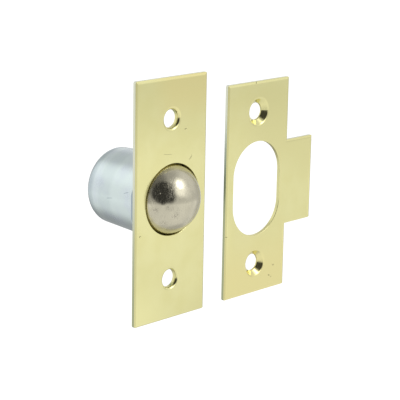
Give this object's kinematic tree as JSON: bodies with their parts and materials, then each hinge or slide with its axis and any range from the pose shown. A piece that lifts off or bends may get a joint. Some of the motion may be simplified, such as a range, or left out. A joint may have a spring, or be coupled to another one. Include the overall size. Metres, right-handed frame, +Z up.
{
  "type": "ball catch",
  "caption": "Door ball catch: a sprung steel ball held in a drawn barrel behind a pressed face plate, with the slotted, lipped strike plate that the ball snaps into.",
  "frame": {"origin": "centre of the face plate's back, on the plane where both plates seat, midway between its screw holes", "axes": "+X across the plates from the catch towards the strike plate's lip, +Y into the door along the barrel, +Z up along the plates"},
  "size_m": [0.0674, 0.0294, 0.0642],
  "materials": {
    "brass_plate": "pale brass plating, satin",
    "zinc_steel": "bluish zinc plating on drawn steel, semi-gloss",
    "ball_steel": "polished steel with fine scratches",
    "spring_steel": "bright drawn spring wire"
  },
  "bodies": {
    "catch_body": {"face_plate": "brass_plate", "barrel": "zinc_steel", "strike_plate": "brass_plate"},
    "spring_end": {"coil_spring": "spring_steel"},
    "ball": {"ball": "ball_steel"}
  },
  "joints": [
    {"name": "ball_press", "type": "slide", "parent": "catch_body", "child": "spring_end", "axis": [0, 1, 0], "range_m": [0, 0.0063], "stiffness_N_per_m": 2070, "springref_m": -0.00483, "deforming": ["coil_spring"]},
    {"name": "ball_roll", "type": "hinge", "parent": "spring_end", "child": "ball", "pos_m": [0.0006, 0.00235, 0], "axis": [0, 0, 1], "continuous": true}
  ]
}
